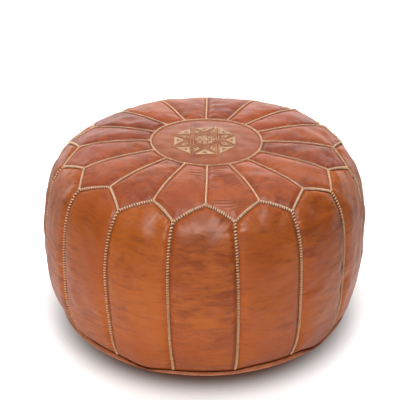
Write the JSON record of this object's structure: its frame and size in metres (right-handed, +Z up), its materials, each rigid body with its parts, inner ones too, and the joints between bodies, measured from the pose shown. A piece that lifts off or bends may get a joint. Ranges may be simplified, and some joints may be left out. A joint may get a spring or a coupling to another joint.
{
  "type": "leather pouf",
  "caption": "Round leather floor pouf sewn from petals and side panels, with a stitched medallion on top, stuffed, and closed below by a zip.",
  "frame": {"origin": "centre of the base, on the floor", "axes": "+Z up, -Y towards the front radial seam, +X along the zip towards its closed end"},
  "size_m": [0.55, 0.55, 0.3011],
  "materials": {
    "medallion_leather": "satin",
    "petal_leather": "satin",
    "side_leather": "satin",
    "base_leather": "matte",
    "cream_thread": "matte",
    "embroidery_thread": "satin",
    "waxed_thread": "matte",
    "zip_tape": "matte",
    "zip_brass": "satin",
    "liner_cotton": "matte",
    "stuffing_cotton": "matte"
  },
  "bodies": {
    "pouf": {"medallion_disc": "medallion_leather", "top_petal_01": "petal_leather", "top_petal_02": "petal_leather", "top_petal_03": "petal_leather", "top_petal_04": "petal_leather", "top_petal_05": "petal_leather", "top_petal_06": "petal_leather", "top_petal_07": "petal_leather", "top_petal_08": "petal_leather", "top_petal_09": "petal_leather", "top_petal_10": "petal_leather", "top_petal_11": "petal_leather", "top_petal_12": "petal_leather", "top_petal_13": "petal_leather", "top_petal_14": "petal_leather", "top_petal_15": "petal_leather", "top_petal_16": "petal_leather", "side_panel_01": "side_leather", "side_panel_02": "side_leather", "side_panel_03": "side_leather", "side_panel_04": "side_leather", "side_panel_05": "side_leather", "side_panel_06": "side_leather", "side_panel_07": "side_leather", "side_panel_08": "side_leather", "side_panel_09": "side_leather", "side_panel_10": "side_leather", "side_panel_11": "side_leather", "side_panel_12": "side_leather", "side_panel_13": "side_leather", "side_panel_14": "side_leather", "side_panel_15": "side_leather", "side_panel_16": "side_leather", "base_front": "base_leather", "base_rear": "base_leather", "medallion_seam_stitching": "cream_thread", "petal_seam_stitching": "cream_thread", "zigzag_seam_stitching": "cream_thread", "side_seam_stitching": "cream_thread", "base_seam_thread": "waxed_thread", "zip_stitching": "waxed_thread", "medallion_embroidery": "embroidery_thread", "zip_tape_front": "zip_tape", "zip_tape_rear": "zip_tape", "zip_teeth_front": "zip_brass", "zip_teeth_rear": "zip_brass", "zip_end_stops": "zip_brass", "inner_liner": "liner_cotton", "stuffing": "stuffing_cotton"},
    "slider": {"zip_slider": "zip_brass"},
    "pull": {"zip_pull": "zip_brass"}
  },
  "joints": [
    {"name": "slider_slide", "type": "slide", "parent": "pouf", "child": "slider", "axis": [-1, 0, 0], "range_m": [0, 0.29]},
    {"name": "pull_swing", "type": "hinge", "parent": "slider", "child": "pull", "pos_m": [0.15535, 0, 0.00395], "axis": [0, -1, 0], "range_deg": [0, 150]}
  ]
}
